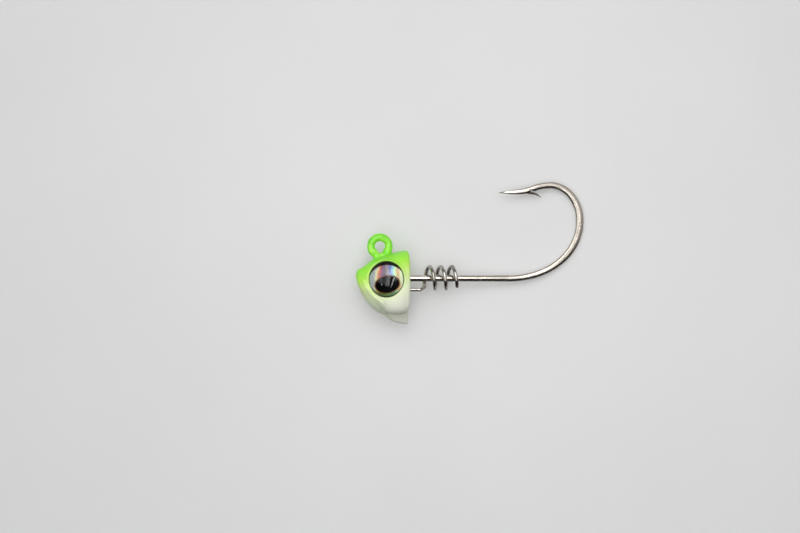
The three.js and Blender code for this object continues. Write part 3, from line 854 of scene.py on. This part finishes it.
def turned(profile, bottom, top, sides=96):
    """A closed body of revolution about z, from its lower middle out and up to its upper middle."""
    angle = 2 * np.pi * np.arange(sides) / sides
    rings = [np.c_[r * np.cos(angle), r * np.sin(angle), np.full(sides, h)] for r, h in profile]
    points = np.vstack(rings + [[(0, 0, bottom), (0, 0, top)]])
    side = np.arange(sides)
    following = (side + 1) % sides
    faces = []
    for row in range(len(profile) - 1):
        base = row * sides
        above = base + sides
        faces += np.c_[base + side, base + following, above + following, above + side].tolist()
    last = (len(profile) - 1) * sides
    faces += [[len(points) - 2, b, a] for a, b in zip(side, following)]
    faces += [[len(points) - 1, last + a, last + b] for a, b in zip(side, following)]
    return points, faces


def build_eye(word, side):
    """A pad, the printed disc and the clear dome. side is one on the left and minus one on the right."""
    turn = -EYE_SLOPE if side > 0 else math.pi + EYE_SLOPE
    centre = Vector((EYE_CENTRE[0], EYE_CENTRE[1], side * EYE_CENTRE[2])) * MM
    seat = LURE @ Matrix.Translation(centre) @ Matrix.Rotation(turn, 4, "Y")
    dome, dome_top = dome_profile()
    layers = [
        ("adhesive", PAD_PROFILE, PAD_PROFILE[0][1], PAD_PROFILE[-1][1], ADHESIVE, "adhesive"),
        ("foil", FOIL_PROFILE, 0.0, FOIL_TOP, HOLOGRAM, "hologram_film"),
        ("dome", dome, DOME_UNDERSIDE, dome_top, EPOXY, "clear_epoxy"),
    ]
    for layer, profile, bottom, top, material, slot in layers:
        piece = place(f"eye_{word}_{layer}_piece", *turned(profile, bottom, top), material, matrix=seat)
        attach(piece, "root")
        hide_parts(f"eye_{word}_{layer}")


build_hook()
build_barb()
build_spring()
build_head()
build_ring_coat()
build_eye("left", 1)
build_eye("right", -1)

# ---- Floor, light and camera ----------------------------------------------------------------------


def build_floor():
    """Pale paper with painted shade that darkens it a little far from the lure."""
    box = Finish("floor", {"Roughness": 0.7, "Emission Color": (1, 1, 1, 1), "Emission Strength": 0.2})
    paper = box.ramp(box.noise(box.mm, 0.02, detail=3), [(0.3, "b9b9b9"), (0.7, "bdbdbd")])
    # painted shade: the paper darkens away from the lure
    far = box.span(box.vector("LENGTH", box.mm), 35.0, 130.0, 0.0, 0.2)
    box.colour(box.mix(far, paper, "6a6b70"))
    half = 1.2
    corners = [(-half, -half, 0), (half, -half, 0), (half, half, 0), (-half, half, 0)]
    mesh = bpy.data.meshes.new("floor")
    mesh.from_pydata(corners, [], [(0, 1, 2, 3)])
    mesh.materials.append(box.material)
    floor = bpy.data.objects.new("floor", mesh)
    bpy.context.collection.objects.link(floor)


def build_window():
    """A soft window light from behind and above, aimed at the head."""
    light = bpy.data.lights.new("back_window", "AREA")
    light.shape = "RECTANGLE"
    light.size = 0.2
    light.size_y = 0.16
    light.energy = 0.25
    position = Vector((-0.02, 0.15, 0.28))
    aim = Vector((-0.01, 0, 0.003))
    lamp = bpy.data.objects.new("back_window", light)
    lamp.location = position
    lamp.rotation_euler = (aim - position).to_track_quat("-Z", "Y").to_euler()
    bpy.context.collection.objects.link(lamp)


def patch(box, across, back, width, depth):
    """A soft-edged rectangle of the tent's roof. width and depth each give low, high and softness."""
    return box.maths("MULTIPLY", box.between(across, *width), box.between(back, *depth))


def build_world():
    """A white tent, open on the near side, with the dark shapes of the camera and its body overhead.

    Brighter patches of its roof give the metal and the eye their reflections: a window, a bank of light,
    a wide strip that fades to one side, a narrow slit and a small spark.
    """
    world = bpy.data.worlds.new("tent")
    world.use_nodes = True
    bpy.context.scene.world = world
    box = Nodes(world.node_tree)
    coordinates = box.tree.nodes.new("ShaderNodeTexCoord")
    x, y, z = box.axes(coordinates.outputs["Generated"])
    up = box.maths("MAXIMUM", z, 0.05)
    across = box.maths("DIVIDE", x, up)
    back = box.maths("DIVIDE", y, up)
    roof = patch(box, across, back, (-1.7, 2.0, 0.3), (-0.5, 1.4, 0.12))
    lens = patch(box, across, back, (-0.06, 0.17, 0.04), (-1.1, 0.12, 0.1))
    body = patch(box, across, back, (0.17, 0.95, 0.04), (-1.1, -0.14, 0.1))
    camera = box.maths("ADD", lens, body)
    leaning = box.maths("MULTIPLY_ADD", back, -0.21, across)
    strip = patch(box, leaning, back, (-0.44, -0.05, 0.02), (-0.66, 0.5, 0.1))
    strip = box.maths("MULTIPLY", strip, box.span(leaning, -0.44, -0.05, 0.2, 1.0))
    leaning = box.maths("MULTIPLY_ADD", back, -0.3, across)
    slit = patch(box, leaning, back, (0.17, 0.26, 0.02), (-0.7, 0.12, 0.05))
    spark = patch(box, across, back, (-0.98, -0.84, 0.03), (-0.66, -0.48, 0.03))
    window = patch(box, across, back, (0.08, 0.45, 0.08), (-0.25, 0.6, 0.1))
    bank = patch(box, across, back, (-1.25, -0.75, 0.08), (-0.25, 1.1, 0.15))
    wall = box.span(y, -0.35, 0.1, 0.03, 0.3, smooth=True)
    wall = box.maths("MULTIPLY", wall, box.span(x, -0.7, -0.2, 0.3, 1.0, smooth=True))
    horizon = box.span(z, 0.05, 0.14, 0.6, 0.0, smooth=True)
    horizon = box.maths("MULTIPLY", horizon, box.span(y, -0.25, 0.1, smooth=True))
    tent = box.maths("MULTIPLY", roof, box.maths("MULTIPLY_ADD", camera, -0.93, 1.0))
    outside = box.maths("MULTIPLY", wall, box.maths("SUBTRACT", 1.0, roof))
    light = box.maths("MAXIMUM", box.maths("MAXIMUM", tent, outside), horizon)
    for bright, strength in ((window, 0.8), (bank, 1.3), (strip, 3.6), (slit, 7.5), (spark, 6.0)):
        light = box.maths("MULTIPLY_ADD", bright, strength, light)
    background = box.tree.nodes["Background"]
    box.join(light, background.inputs[0])
    background.inputs[1].default_value = 0.8


# in metres, at the lure's height: what the picture takes in, and its middle from the lure's origin
PICTURE_WIDTH = 0.178
PICTURE_MIDDLE = Vector((-0.00189, 0.0026, 0))


def build_camera():
    """Straight above, with the picture's middle close to the back of the head."""
    camera = bpy.data.cameras.new("camera")
    camera.lens = 85
    camera.sensor_width = 36
    view = bpy.data.objects.new("camera", camera)
    height = PICTURE_WIDTH * camera.lens / camera.sensor_width
    view.location = LURE_ORIGIN + PICTURE_MIDDLE + Vector((0, 0, height))
    bpy.context.collection.objects.link(view)
    bpy.context.scene.camera = view


build_floor()
build_world()
build_window()
build_camera()
bpy.context.scene.view_settings.view_transform = "Standard"
